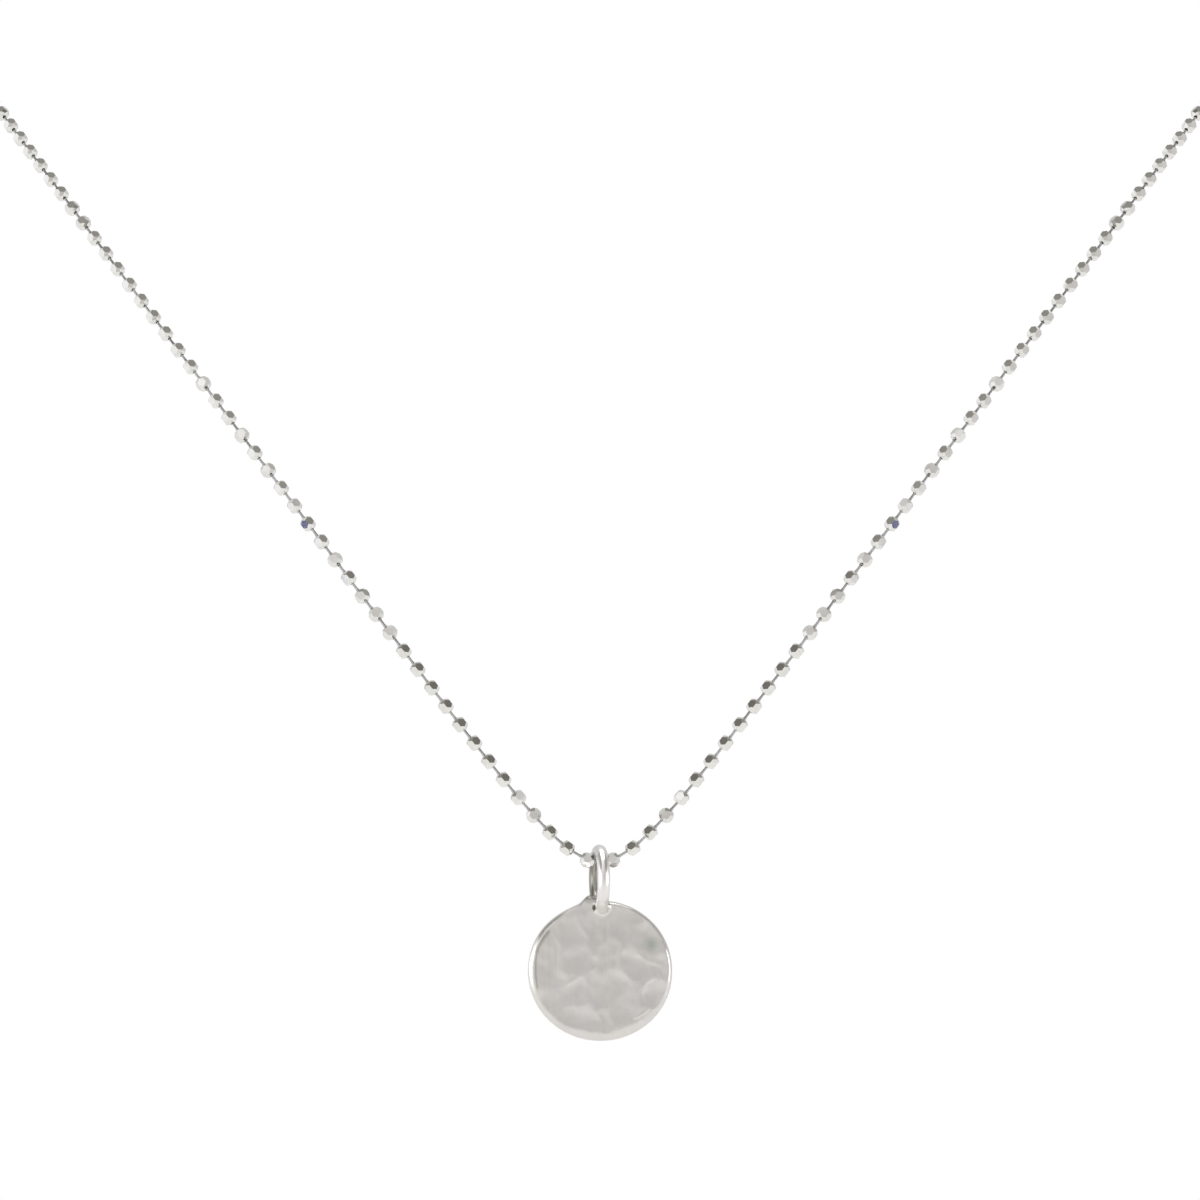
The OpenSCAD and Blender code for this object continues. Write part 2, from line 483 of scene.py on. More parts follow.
def placeGroup(tree, group, where, **values):
    node = tree.nodes.new("ShaderNodeGroup")
    node.node_tree = group
    tree.links.new(where, node.inputs["Where"])
    for label, value in values.items():
        feed(tree, node.inputs[label.replace("_", " ")], value)
    return node.outputs


def newSilver(name):
    material = bpy.data.materials.new(name)
    material.use_nodes = True
    tree = material.node_tree
    shader = tree.nodes["Principled BSDF"]
    shader.inputs["Metallic"].default_value = 1.0
    where = tree.nodes.new("ShaderNodeTexCoord").outputs["Object"]
    return material, tree, shader, where


def maskNode(tree, name):
    node = tree.nodes.new("ShaderNodeAttribute")
    node.attribute_name = name
    return node.outputs["Fac"]


def bumpNode(tree, shader, height, strength, distance):
    node = tree.nodes.new("ShaderNodeBump")
    node.inputs["Strength"].default_value = strength
    node.inputs["Distance"].default_value = distance
    tree.links.new(height, node.inputs["Height"])
    tree.links.new(node.outputs["Normal"], shader.inputs["Normal"])


def span(tree, value, low, high):
    # low where the mask is 0, high where it is 1
    node = tree.nodes.new("ShaderNodeMapRange")
    tree.links.new(value, node.inputs["Value"])
    feed(tree, node.inputs["To Min"], low)
    feed(tree, node.inputs["To Max"], high)
    return node.outputs["Result"]


def wearSilver(tree, shader, where, look, clean):
    # cloudy tarnish over the clean colour, and fine marks in the surface
    clouds = placeGroup(
        tree, tarnish, where, Cloud_Scale=look["cloudScale"], Clean=clean,
        Dull=look["dull"], Amount=look["clouds"],
    )
    marks = placeGroup(
        tree, polishMarks, where, Peel_Scale=look["peelScale"],
        Hairline_Scale=look["hairlineScale"], Hairlines=look["hairlines"],
    )
    bumpNode(tree, shader, marks["Height"], look["bump"], look["bumpDepth"])
    return clouds, marks


def plainSilver(name, look):
    material, tree, shader, where = newSilver(name)
    clouds, marks = wearSilver(tree, shader, where, look, look["color"])
    tree.links.new(clouds["Color"], shader.inputs["Base Color"])
    scuffed = mathNode(tree, "ADD", times(tree, marks["Scuff"], look["scuffRoughness"]), look["roughness"])
    rough = mathNode(tree, "ADD", scuffed, times(tree, clouds["Cloud"], look["cloudRoughness"]))
    tree.links.new(rough, shader.inputs["Roughness"])
    return material


hammeredLook = {
    "face": (0.83, 0.81, 0.785), "rosy": (0.835, 0.81, 0.805), "dull": (0.70, 0.685, 0.65),
    # the dent's greenish grey on the next line is painted shade in its hollow
    "bright": (0.93, 0.92, 0.91), "shadedDent": (0.58, 0.625, 0.585), "paintedShade": (0.30, 0.28, 0.225),
    # the last colour on the line above is painted shade, for the pit and the line inside the left rim
    "patinaAndShade": (0.25, 0.24, 0.20),
    # the patina colour is tarnish inside the bail's ring, laid on dark enough to be painted shade there as
    # well
    "faceRoughness": 0.30, "crestRoughness": 0.28, "brightRoughness": 0.29, "patinaRoughness": 0.34,
    # the bright colour is also laid on the crests as a painted highlight, at this share
    "scuffRoughness": 0.10, "crestHighlight": 0.14,
    "rosyScale": 420.0, "rosyDetail": 2.0, "rosyEdge": (0.42, 0.58),
    "cloudScale": 520.0, "clouds": 0.35,
    "strokeSqueeze": (1.0, 1.0, 0.05), "strokeScale": 4200.0, "strokeDetail": 3.0,
    "strokeEdge": (0.42, 0.66), "strokeShare": 0.45,
    "peelScale": 5200.0, "hairlineScale": 9000.0, "hairlines": 0.6, "bump": 0.35, "bumpDepth": 0.000003,
}


def brushStrokes(tree, where):
    # upright brush strokes, left on the strips the hammer missed
    look = hammeredLook
    upright = stretched(tree, where, look["strokeSqueeze"])
    noise = noiseNode(tree, upright, look["strokeScale"], look["strokeDetail"])
    stroke = rampNode(tree, noise, *look["strokeEdge"])
    return times(tree, stroke, maskNode(tree, "brushed"), look["strokeShare"])


def hammeredSilver():
    look = hammeredLook
    material, tree, shader, where = newSilver("hammeredSilver")
    crest, bright, patinaAndShade = maskNode(tree, "crest"), maskNode(tree, "solder"), maskNode(tree, "patinaAndShade")
    rosy = rampNode(tree, noiseNode(tree, where, look["rosyScale"], look["rosyDetail"]), *look["rosyEdge"])
    clean = mixColor(tree, rosy, look["face"], look["rosy"])
    clouds, marks = wearSilver(tree, shader, where, look, clean)
    # the pit and the line inside the left rim are darkened as painted shade
    dark = mathNode(tree, "MAXIMUM", maskNode(tree, "pit"), maskNode(tree, "seam"))
    color = clouds["Color"]
    for share, over in (
        # the dent's mask lays painted shade in its hollow
        (brushStrokes(tree, where), "dull"), (maskNode(tree, "shadedDent"), "shadedDent"),
        # crests get the bright colour as a painted highlight
        (times(tree, crest, look["crestHighlight"]), "bright"), (bright, "bright"),
        # the patina inside the ring is tarnish and painted shade
        (patinaAndShade, "patinaAndShade"), (dark, "paintedShade"),
    ):
        color = mixColor(tree, share, color, look[over])
    tree.links.new(color, shader.inputs["Base Color"])
    satin = span(tree, crest, look["faceRoughness"], look["crestRoughness"])
    scuffed = mathNode(tree, "ADD", satin, times(tree, marks["Scuff"], look["scuffRoughness"]))
    smooth = span(tree, bright, scuffed, look["brightRoughness"])
    tree.links.new(span(tree, patinaAndShade, smooth, look["patinaRoughness"]), shader.inputs["Roughness"])
    return material


# pendant: hammered disc, round wire bail and the solder between them, one piece of metal

disc = {
    "radius": 6.0, "thickness": 1.2, "middle": -9.135,     # the middle's height is from the middle link
    "sides": 240, "rimRounding": 0.35, "rimSegments": 5,
    "outlineReach": (2.0, 5.4),     # between these radii the round blank takes on its outline
    "outline": [            # radius every 30 degrees from the right, as edge blows left it
        6.01, 5.95, 5.81, 5.74, 5.69, 5.93, 6.01, 6.03, 5.96, 5.92, 5.98, 6.08,
    ],
    "rimWidths": [          # how far in the rounded rim reaches, every 15 degrees from the right
        0.36, 0.34, 0.30, 0.22, 0.22, 0.26, 0.26, 0.26, 0.30, 0.42, 0.58, 0.66,
        0.70, 0.66, 0.60, 0.62, 0.70, 0.84, 0.74, 0.86, 0.90, 0.72, 0.54, 0.42,
    ],
    "flare": (98, 0.54, 4.6),   # where the rim rises to the bail's left leg: angle, height, spread
    "rimFall": 0.48, "rimMost": 0.995, "rimSlowest": 0.15, "rimQuickLeft": (0.60, 0.90),
    "rimSlow": (0.8, 2.4),      # the slow roll's share and power
    "faceOffset": 0.06,
    "blowDepth": 0.11, "blowReach": 1.22, "blowSoftness": 0.026, "crestWidth": 0.035,
    "blowSway": 0.12,       # the blows' outlines waver in waves: share of the sway, by across, by up, start
    "swayAcross": [(1.0, 0.0, 1.9, 0.8), (0.5, 1.3, 4.7, 0.0)],
    "swayUp": [(1.0, 1.7, 0.0, 2.1), (0.5, 5.1, -1.1, 0.0)],
    "struckFrom": 0.05, "struckPast": 0.08,     # how near the middle plane and past the outline blows reach
    "crestFrom": 0.3, "burrHighlight": 1.6,         # crests get a painted highlight from this far out, and raised edges this much more of it
    "frontBlows": [         # across, up, half width, half height, share of the full depth, tilts
        (-2.55, 3.05, 1.15, 1.45, 1.0, 0.03, 0.02), (-4.25, 0.45, 0.85, 2.35, 1.0, 0.03, 0.00),
        (-2.10, 0.90, 1.00, 1.10, 0.9, 0.03, 0.00), (0.45, 0.50, 0.95, 1.70, 1.0, 0.03, 0.02),
        (0.10, -1.70, 1.35, 1.45, 1.4, 0.07, 0.03), (-2.00, -1.90, 0.90, 1.20, 0.9, -0.01, 0.00),
        (-3.30, -2.40, 0.85, 1.10, 0.9, 0.02, 0.02), (-1.00, -4.20, 1.15, 1.05, 1.0, -0.02, -0.01),
        (0.35, -4.30, 0.50, 1.10, 0.9, 0.05, 0.00), (2.00, -2.90, 1.35, 1.90, 1.2, 0.00, -0.02),
        (2.90, 0.60, 1.25, 1.20, 1.2, 0.04, 0.02), (4.10, 2.30, 1.35, 1.45, 1.5, 0.00, 0.05),
        (4.60, -1.70, 0.95, 1.05, 1.1, -0.03, -0.05), (1.55, 3.70, 0.85, 1.35, 1.0, 0.04, 0.02),
        (-0.55, 3.60, 0.70, 1.50, 0.9, 0.03, 0.00), (0.60, 3.90, 0.55, 1.30, 0.8, -0.03, 0.00),
        (2.90, 4.20, 1.00, 0.90, 0.9, 0.00, 0.04), (3.90, -3.90, 0.90, 0.90, 0.9, 0.00, 0.00),
        (2.30, -5.10, 1.20, 0.70, 0.8, 0.00, -0.02), (-2.60, -3.90, 0.90, 0.90, 0.9, 0.00, 0.01),
        (-4.40, -2.80, 0.90, 1.10, 0.9, 0.03, 0.04), (-4.10, 3.10, 0.80, 1.10, 0.9, 0.02, 0.03),
        (-2.20, 4.90, 1.10, 0.80, 0.8, 0.00, 0.03), (5.00, 0.30, 0.70, 0.90, 0.9, -0.02, 0.00),
        (-0.90, -5.30, 1.20, 0.60, 0.7, 0.00, -0.05), (-3.60, -0.90, 0.70, 0.80, 0.7, 0.00, 0.00),
    ],
    "backBlows": [
        (-2.2, 2.7, 1.3, 1.35, 1.1, 0.02, 0), (0.3, 3.2, 1.25, 1.2, 0.9, 0, 0.03),
        (2.6, 2.5, 1.3, 1.4, 1.0, -0.02, 0), (-4.2, 0.6, 1.25, 1.45, 1.0, 0, 0.02),
        (-1.3, 0.3, 1.4, 1.3, 1.1, 0, -0.03), (1.3, 0.2, 1.3, 1.3, 1.0, 0.03, 0),
        (4.1, 0.3, 1.3, 1.5, 1.1, 0, 0), (-3.3, -2.3, 1.3, 1.3, 1.0, 0, 0.03),
        (-0.6, -2.4, 1.4, 1.3, 1.2, -0.03, 0), (2.1, -2.2, 1.3, 1.35, 1.0, 0, -0.02),
        (-1.2, -4.6, 1.1, 1.0, 0.9, 0, 0), (1.5, -4.5, 1.1, 1.05, 0.9, 0.02, 0),
        (4.1, -2.7, 1.1, 1.1, 0.9, 0, 0.02), (-3.6, 3.9, 0.9, 0.9, 0.8, 0, 0),
        (3.9, 3.9, 0.9, 0.9, 0.8, 0, 0),
    ],
    "lightBlows": {         # small soft blows over the main ones, thrown by chance
        "count": 110, "within": 6.2, "size": (0.5, 0.95), "tallness": (0.8, 1.6),
        "depth": 0.014, "depthShare": (0.4, 1.0), "softness": 0.003,
    },
    "faces": [(-1, "frontBlows", 11), (1, "backBlows", 23)],    # side, its blows, seed of its light ones
    "burrs": [              # thin raised edges between some blows: width, height, then the line's points
        (0.13, 0.026, [(4.35, -0.75), (3.75, -1.15), (3.60, -1.90), (3.75, -2.50)]),
        (0.10, 0.030, [(2.90, -4.05), (3.50, -3.70), (4.10, -3.20)]),
        (0.20, 0.022, [(3.20, 1.30), (4.00, 0.75), (5.00, 0.45)]),
        (0.26, 0.018, [(-0.50, 2.10), (-0.52, 1.20)]),
        (0.28, 0.020, [(1.25, 1.20), (1.90, 1.75)]),
        (0.20, 0.020, [(-2.50, -1.10), (-1.90, -0.75), (-0.90, -0.10), (-0.30, 0.20)]),
        (0.18, 0.014, [(-3.40, -2.00), (-3.30, -2.80)]), (0.20, 0.014, [(-2.10, -2.20), (-2.10, -3.00)]),
        (0.18, 0.016, [(1.10, -1.20), (0.75, -2.00), (0.70, -3.60)]),
        (0.22, 0.014, [(-2.10, 4.40), (-1.00, 2.80)]), (0.20, 0.014, [(-4.00, 3.20), (-3.30, 2.00)]),
        (0.14, 0.020, [(4.90, -0.35), (5.20, -0.90)]),
    ],
    "rimShadowLines": [              # a painted shadow line inside the left rim: width, then the line's points
        (0.15, [(-4.30, 3.15), (-4.75, 2.60), (-5.15, 1.90), (-5.28, 1.50)]),
        (0.07, [(-5.28, 1.50), (-5.36, 0.60), (-5.36, -0.40), (-5.24, -1.50)]),
    ],
    "rimShadowShare": 0.55,
    # strips the hammer missed: across, up, half width, half height
    "brushed": [(-4.2, 0.5, 1.0, 2.6), (-0.2, 3.2, 1.7, 1.3), (0.5, 0.6, 0.9, 1.6)],
    "brushedEdge": (0.6, 1.1),
    "shadedDent": (4.30, 2.10, 1.10),         # the dent painted darker and a little greenish, as painted shade in its hollow: across, up, reach
    "dentShades": [(0.65, 0.2, 1.0), (0.35, 0.1, 0.4)],     # share, and where it starts to fade and ends
}
bail = {
    "ringRadius": 2.35, "wireRadius": 0.525, "turn": 9, "across": -0.05,
    "aboveLink": -1.585,                    # middle of the ring, from the middle link
    "roundSides": 120, "wireSides": 36,
    # the inner side of the ring keeps its patina, laid on dark as painted shade too: shares, and from where
    # inwards, in radii of the wire
    "patinaAndShade": 0.66, "patinaAndShadeInward": (0.0, 0.35),
    "band": 0.30, "bandStart": (0.2, 0.5), "bandEnd": (0.80, 0.95), "patinaAndShadeAboveFoot": (0.2, 0.9),
}
solder = {
    "foot": -3.935,                         # middle of the bail's foot wire, from the middle link
    "dropSides": 40, "dropRings": 24,
    "drops": [                              # place from the foot, radius
        ((0.24, -0.66, 0.08), 0.58), ((-0.24, 0.66, 0.05), 0.58), ((-0.50, 0.35, 0.70), 0.36),
    ],
    "keptHeight": 0.5,                      # metal so high over the face is spared by the blows
    # a small pit left of the foot, pressed in and darkened as painted shade
    "pit": (-0.50, -0.03), "pitHalfWidth": 0.14, "pitHalfHeight": 0.29, "pitDepth": 0.20,
    "pitEdge": (0.0, 0.7),
    # bail and solder are bright: round the foot, above it, and not left of it close over the disc
    "brightReach": 0.58, "brightEdge": (0.8, 1.15), "brightAboveFoot": (0.35, 0.8),
    "leftEdge": (-1.0, -0.75), "leftAboveFoot": (1.0, 1.4),
}
# the parts are fused by small cubes, evened, and softened where solder flows into the corners
fusing = {
    "voxel": 0.066, "smoothing": 0.5, "evenPasses": 6,
    "flowPasses": 30, "flowReach": 1.45, "flowStart": 0.6, "flowDepth": 1.3, "flowLeast": 0.01,
}
rimSteps = (-0.4, -0.2, 0, 0.2, 0.4)        # shares of a table's step over which its values are averaged


def roundTheRim(angle, values):
    # values stand at even steps from the right, and are eased between those
    degrees = np.degrees(angle)
    step = 360 / len(values)
    steps = np.arange(len(values)) * step
    shifted = [np.interp(degrees + d * step, steps, values, period=360) for d in rimSteps]
    return np.mean(shifted, axis=0)


def discOutline(angle):
    at, height, spread = disc["flare"]
    flare = height * np.exp(-((np.degrees(angle) - at) / spread) ** 2 / 2)
    return roundTheRim(angle, disc["outline"]) + flare


def discBlank():
    blank = newPiece(
        bpy.ops.mesh.primitive_cylinder_add, "discBlank",
        vertices=disc["sides"], radius=disc["radius"], depth=disc["thickness"],
        location=(0, 0, disc["middle"]), rotation=(math.radians(90), 0, 0),
    )
    half = disc["thickness"] / 2
    near = 0.01
    editMode(blank, "EDGE")
    selectEdges(blank, lambda a, b: abs(a.y - b.y) < near and abs(abs(a.y) - half) < near)
    bpy.ops.mesh.bevel(
        offset=disc["rimRounding"], segments=disc["rimSegments"], profile=0.5, affect="EDGES")
    objectMode()
    spots = points(blank)
    across, up = spots[:, 0], spots[:, 2] - disc["middle"]
    share = discOutline(np.arctan2(up, across)) / disc["radius"]
    share = 1 + (share - 1) * ease(*disc["outlineReach"], np.hypot(across, up))
    spots[:, 0] = across * share
    spots[:, 2] = up * share + disc["middle"]
    putPoints(blank, spots)
    return blank


def bailRing():
    ring = newPiece(
        bpy.ops.mesh.primitive_torus_add, "bailRing",
        major_radius=bail["ringRadius"], minor_radius=bail["wireRadius"],
        major_segments=bail["roundSides"], minor_segments=bail["wireSides"],
        location=(bail["across"], 0, bail["aboveLink"]), rotation=(0, math.radians(90), 0),
    )
    ring.data.transform(
        Matrix.Translation((bail["across"], 0, 0)) @ Matrix.Rotation(math.radians(bail["turn"]), 4, "Z")
        @ Matrix.Translation((-bail["across"], 0, 0))
    )
    return ring


def solderDrops():
    return [
        newPiece(
            bpy.ops.mesh.primitive_uv_sphere_add, "solderDrop",
            segments=solder["dropSides"], ring_count=solder["dropRings"],
            radius=radius, location=(x, y, z + solder["foot"]),
        )
        for (x, y, z), radius in solder["drops"]
    ]


def crowns(across, up, marks):
    # each mark's own depth at every point, a tilted bowl
    return np.array([
        depth * (1 - ((across - x) / w) ** 2 - ((up - z) / h) ** 2) + tiltX * (across - x) + tiltZ * (up - z)
        for x, z, w, h, depth, tiltX, tiltZ in marks
    ])


def softMaximum(heights, soft):
    # the clip keeps marks far away from overflowing
    return soft * np.log(1 + np.exp(np.clip(heights, -0.5, 1) / soft).sum(axis=0))


def swayed(moved, across, up, waves):
    for share, byAcross, byUp, start in waves:
        moved = moved + share * disc["blowSway"] * np.sin(byAcross * across + byUp * up + start)
    return moved


def lightMarks(seed):
    chance = random.Random(seed)
    blows = disc["lightBlows"]
    marks = []
    for _ in range(blows["count"]):
        out, way = blows["within"] * math.sqrt(chance.random()), chance.uniform(0, 2 * math.pi)
        size = chance.uniform(*blows["size"])
        marks.append((
            out * math.cos(way), out * math.sin(way), size, size * chance.uniform(*blows["tallness"]),
            blows["depth"] * chance.uniform(*blows["depthShare"]), 0, 0,
        ))
    return marks


def dentDepth(across, up, blows, seed):
    # how deep the face is struck, and how near a crest between two main blows each point is
    reach = disc["blowReach"]
    marks = [
        (x, z, w * reach, h * reach, share * disc["blowDepth"], tiltX, tiltZ)
        for x, z, w, h, share, tiltX, tiltZ in blows
    ]
    main = crowns(
        swayed(across, across, up, disc["swayAcross"]), swayed(up, across, up, disc["swayUp"]), marks)
    second, first = np.sort(main, axis=0)[-2:]
    crest = 1 - ease(0, disc["crestWidth"], first - second)
    light = crowns(across, up, lightMarks(seed))
    total = softMaximum(main, disc["blowSoftness"]) + softMaximum(light, disc["lightBlows"]["softness"])
    return total, crest


def fromLine(across, up, line):
    # distance from the line through a few points
    near = np.full(len(across), np.inf)
    for (x0, z0), (x1, z1) in zip(line, line[1:]):
        along = ((across - x0) * (x1 - x0) + (up - z0) * (z1 - z0)) / ((x1 - x0) ** 2 + (z1 - z0) ** 2)
        along = np.clip(along, 0, 1)
        near = np.minimum(near, np.hypot(across - x0 - along * (x1 - x0), up - z0 - along * (z1 - z0)))
    return near


def burrHeights(across, up):
    raised, painted = np.zeros(len(across)), np.zeros(len(across))
    for width, height, line in disc["burrs"]:
        edge = np.exp(-(fromLine(across, up, line) / width) ** 2)
        raised, painted = np.maximum(raised, height * edge), np.maximum(painted, edge)
    return raised, painted


def rimDrop(across, up):
    # the faces roll over into the rim, quickly at the left and slowly elsewhere
    angle = np.arctan2(up, across)
    width = roundTheRim(angle, disc["rimWidths"])
    past = np.hypot(across, up) - (discOutline(angle) - width)
    share = np.clip(past / width, 0, disc["rimMost"])
    slowest = disc["rimSlowest"]
    quick = slowest + (1 - slowest) * ease(*disc["rimQuickLeft"], -np.cos(angle))
    slowShare, power = disc["rimSlow"]
    rolled = quick * (1 - np.sqrt(1 - share ** 2)) + (1 - quick) * slowShare * share ** power
    return disc["rimFall"] * rolled


def hammerFaces(piece):
    spots = points(piece)
    across, deep, up = spots[:, 0].copy(), spots[:, 1].copy(), spots[:, 2] - disc["middle"]
    half = disc["thickness"] / 2
    # the bail above the disc is left alone, and its soldered foot only sinks with the face round it
    beyond = np.hypot(across, up) - discOutline(np.arctan2(up, across))
    slope = rimDrop(across, up)
    crests = np.zeros(len(spots))
    for side, blows, seed in disc["faces"]:
        sunk, crest = dentDepth(across, up, disc[blows], seed)
        if side == -1:      # only the front has raised edges
            raised, painted = burrHeights(across, up)
            sunk, crest = sunk - raised, np.maximum(crest, disc["burrHighlight"] * painted)
        outward = deep * side
        face = half - disc["faceOffset"] - sunk - slope
        above = outward - half
        kept = ease(0.0, solder["keptHeight"], above)
        lowered = outward - (outward - above - face) * (1 - kept)
        pressed = np.where(above > 0, lowered, np.minimum(outward, face))
        struck = (outward > disc["struckFrom"]) & (beyond < disc["struckPast"])
        deep = np.where(struck, side * pressed, deep)
        crests = np.maximum(crests, crest * struck * (outward > disc["crestFrom"]) * (1 - kept))
    spots[:, 1] = deep
    putPoints(piece, spots)
    return crests


def brightMask(across, up):
    aboveFoot = up - solder["foot"]
    fromFoot = np.hypot(across, aboveFoot) / solder["brightReach"]
    bright = 1 - ease(*solder["brightEdge"], fromFoot)
    bright = np.maximum(bright, ease(*solder["brightAboveFoot"], aboveFoot))
    return bright * np.maximum(ease(*solder["leftEdge"], across), ease(*solder["leftAboveFoot"], aboveFoot))


def patinaAndShadeMask(across, deep, up):
    # polish did not reach the inner side of the ring, whose patina is laid on dark as painted shade too
    turn = math.radians(bail["turn"])
    along = deep * math.cos(turn) - (across - bail["across"]) * math.sin(turn)
    inward = (bail["ringRadius"] - np.hypot(along, up - bail["aboveLink"])) / bail["wireRadius"]
    band = ease(*bail["bandStart"], inward) * (1 - ease(*bail["bandEnd"], inward))
    inside = bail["patinaAndShade"] * ease(*bail["patinaAndShadeInward"], inward) + bail["band"] * band
    return inside * ease(*bail["patinaAndShadeAboveFoot"], up - solder["foot"])


def brushedMask(across, up):
    brushed = np.zeros(len(across))
    for x, z, w, h in disc["brushed"]:
        strip = 1 - ease(*disc["brushedEdge"], np.hypot((across - x) / w, (up - z) / h))
        brushed = np.maximum(brushed, strip)
    return brushed


def rimShadowMask(across, up):
    # a painted shadow line inside the left rim
    seam = np.zeros(len(across))
    for width, line in disc["rimShadowLines"]:
        seam = np.maximum(seam, np.exp(-(fromLine(across, up, line) / width) ** 2))
    return disc["rimShadowShare"] * seam


def shadedDentMask(across, up):
    # painted shade in the dent's hollow, fading outwards
    x, z, reach = disc["shadedDent"]
    out = np.hypot(across - x, up - z) / reach
    return sum(share * (1 - ease(start, end, out)) for share, start, end in disc["dentShades"])


def pitHollow(across, up):
    x, z = solder["pit"]
    out = np.hypot((across - x) / solder["pitHalfWidth"], (up - solder["foot"] - z) / solder["pitHalfHeight"])
    return np.clip(1 - out ** 2, 0, 1)


def pendantMasks(piece, crests):
    # writes where each finish, painted shade and painted highlight shows, and presses the pit in
    spots = points(piece)
    across, deep, up = spots[:, 0], spots[:, 1], spots[:, 2]
    front = deep < 0
    onDisc = up - disc["middle"]
    hollow = pitHollow(across, up) * front
    masks = {
        "crest": crests, "solder": brightMask(across, up), "patinaAndShade": patinaAndShadeMask(across, deep, up),
        # the seam mask is a painted shadow line inside the left rim
        "seam": rimShadowMask(across, onDisc) * front, "shadedDent": shadedDentMask(across, onDisc) * front,
        "brushed": brushedMask(across, onDisc) * front, "pit": ease(*solder["pitEdge"], hollow),
    }
    for name, values in masks.items():
        writeMask(piece, name, values)
    spots[:, 1] += hollow ** 0.5 * solder["pitDepth"]
    putPoints(piece, spots)


def smoothen(metal, passes, group=""):
    even = metal.modifiers.new("even", "SMOOTH")
    even.factor = fusing["smoothing"]
    even.iterations = passes
    even.vertex_group = group
    applyAll(metal)


def flowSolder(metal):
    spots = points(metal)
    fromFoot = np.hypot(spots[:, 0], spots[:, 2] - solder["foot"]) / fusing["flowReach"]
    weight = 1 - ease(fusing["flowStart"], 1, fromFoot)
    weight *= np.abs(spots[:, 1]) < fusing["flowDepth"]
    flow = metal.vertex_groups.new(name="flow")
    for i in np.nonzero(weight > fusing["flowLeast"])[0]:
        flow.add([int(i)], float(weight[i]), "REPLACE")
    smoothen(metal, fusing["flowPasses"], "flow")
    metal.vertex_groups.clear()


def buildPendant():
    metal = joinPieces([discBlank(), bailRing()] + solderDrops(), "pendantMetal")
    pick(metal)
    union = metal.modifiers.new("oneMetal", "REMESH")
    union.mode = "VOXEL"
    union.voxel_size = fusing["voxel"]
    union.use_smooth_shade = True
    applyAll(metal)
    smoothen(metal, fusing["evenPasses"])
    flowSolder(metal)
    pendantMasks(metal, hammerFaces(metal))
    pick(metal)
    bpy.ops.object.shade_smooth()
    toMetres(metal, middleLink)
    metal.data.materials.clear()
    metal.data.materials.append(hammeredSilver())
    metal.name = metal.data.name = "hammeredPendant"
    print(f"pendant: {len(metal.data.polygons)} faces")
    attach(metal, "pendant")
    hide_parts("pendant")


buildPendant()


# beads: one diamond-cut bead, copied along the chain, the right side as the left's mirror

bead = {
    "radius": 0.655,
    "cuts": [               # latitude, first azimuth, count around, share of the radius
        (0, 0, 6, 0.83), (37, 30, 6, 0.94), (-37, 30, 6, 0.94),
        (62, 0, 6, 0.94), (-62, 0, 6, 0.94),
    ],
    "capShare": 0.90, "capRim": 0.045, "capFacing": 0.99,
    "rolls": [14, 29, 32, 4, 22, 30, 31, 28, 27, 33],   # the first beads up each side, in degrees
    "darkRolls": (29, 35), "paleRolls": (-8, 24), "paleShare": 0.22,    # the others, by chance
    "seed": 7,
}
beadLook = {
    "color": (0.93, 0.925, 0.91), "dull": (0.62, 0.60, 0.55), "roughness": 0.06,
    "scuffRoughness": 0.08, "cloudRoughness": 0.04, "cloudScale": 900.0, "clouds": 0.25,
    "peelScale": 5000.0, "hairlineScale": 14000.0, "hairlines": 0.4, "bump": 0.3, "bumpDepth": 0.000002,
}


def cutFlat(latitude, azimuth, share):
    lat, azi = math.radians(latitude), math.radians(azimuth)
    way = Vector((math.cos(lat) * math.cos(azi), math.cos(lat) * math.sin(azi), math.sin(lat)))
    selectAll()
    bpy.ops.mesh.bisect(
        plane_co=way * share * bead["radius"], plane_no=way, use_fill=True, clear_outer=True)


def cutBead():
    ball = newPiece(bpy.ops.mesh.primitive_cube_add, "cutBead", size=4 * bead["radius"])
    editMode(ball)
    for latitude, first, count, share in bead["cuts"]:
        for i in range(count):
            cutFlat(latitude, first + 360 * i / count, share)
    for pole in (90, -90):
        cutFlat(pole, 0, bead["capShare"])
    # drilled through from cap to cap
    selectFaces(ball, lambda center, normal: abs(normal.z) > bead["capFacing"])
    bpy.ops.mesh.inset(thickness=bead["capRim"], use_individual=True)
    bpy.ops.mesh.delete(type="FACE")
    bpy.ops.mesh.select_mode(type="EDGE")
    bpy.ops.mesh.select_non_manifold()
    bpy.ops.mesh.bridge_edge_loops()
    turnFacesOut()
    bpy.ops.mesh.faces_shade_flat()
    objectMode()
    print(f"bead: {len(ball.data.polygons)} faces")
    return ball


standing = {
    "steep": 0.8,           # where the chain runs back more than this, fronts turn sideways
    "middle": 0.0001,       # nearer to the middle plane than this is neither side
}


def stand(place, way, roll, mirrored=False):
    # local Z runs along the chain, and local X turns from the front towards the inside by the roll
    front = Vector((0, -1, 0)) if abs(way.y) < standing["steep"] else Vector((place.x, 0, 0))
    front = (front - way * front.dot(way)).normalized()
    inside = way.cross(front) * (1 if way.z > 0 else -1)
    if inside.x * place.x > 0 and abs(place.x) > standing["middle"]:
        inside = -inside
    lean = math.radians(roll)
    ahead = (front * math.cos(lean) + inside * math.sin(lean)).normalized()
    turn = Matrix((ahead, way.cross(ahead), way)).transposed().to_4x4()
    flip = Matrix.Scale(-1, 4, Vector((1, 0, 0))) if mirrored else Matrix.Identity(4)
    return flip @ Matrix.Translation(place) @ turn @ Matrix.Scale(mm, 4)


